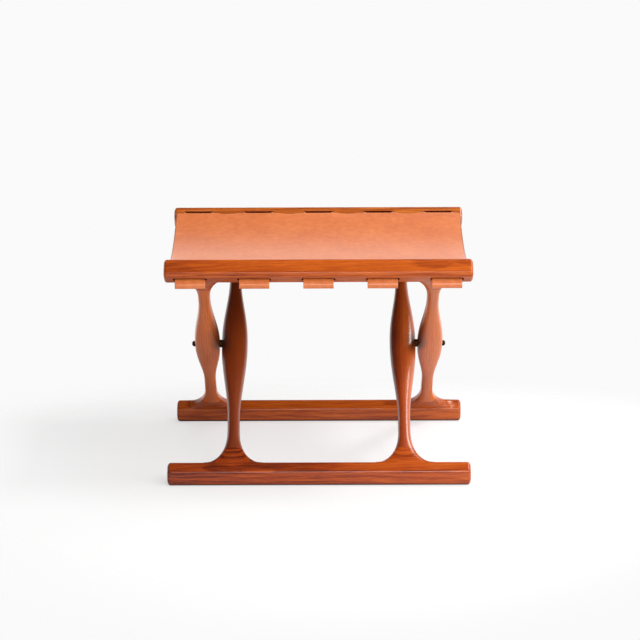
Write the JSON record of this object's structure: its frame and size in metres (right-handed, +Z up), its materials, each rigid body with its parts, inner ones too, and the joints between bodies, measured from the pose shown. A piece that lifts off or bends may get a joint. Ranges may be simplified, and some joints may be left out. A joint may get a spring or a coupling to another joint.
{
  "type": "folding stool",
  "caption": "Low folding stool: two sculpted wooden frames crossing at a pivot, with a tan leather sling held by tabs through slots in the seat rails.",
  "frame": {"origin": "on the floor under the middle of the open stool", "axes": "+X along the rails, +Y from the front seat rail to the back seat rail, +Z up"},
  "size_m": [0.49, 0.4022, 0.3751],
  "materials": {
    "wood": "oiled reddish-brown hardwood with fine straight grain",
    "leather": "smooth tan vegetable-tanned leather with cut edges",
    "brass": "dark aged brass"
  },
  "bodies": {
    "outer_frame": {"outer_seat_rail": "wood", "outer_foot_rail": "wood", "outer_left_leg": "wood", "outer_right_leg": "wood", "outer_dowels": "wood", "leather_seat": "leather", "front_loop_pegs": "wood"},
    "inner_frame": {"inner_seat_rail": "wood", "inner_foot_rail": "wood", "inner_left_leg": "wood", "inner_right_leg": "wood", "inner_dowels": "wood", "left_pivot_bolt": "brass", "right_pivot_bolt": "brass", "left_spacer": "brass", "right_spacer": "brass", "left_insert": "brass", "right_insert": "brass", "back_loop_pegs": "wood"}
  },
  "joints": [
    {"name": "fold", "type": "hinge", "parent": "outer_frame", "child": "inner_frame", "pos_m": [0, 0, 0.18619], "axis": [1, 0, 0], "range_deg": [0, 82], "deforming": ["leather_seat"]}
  ]
}
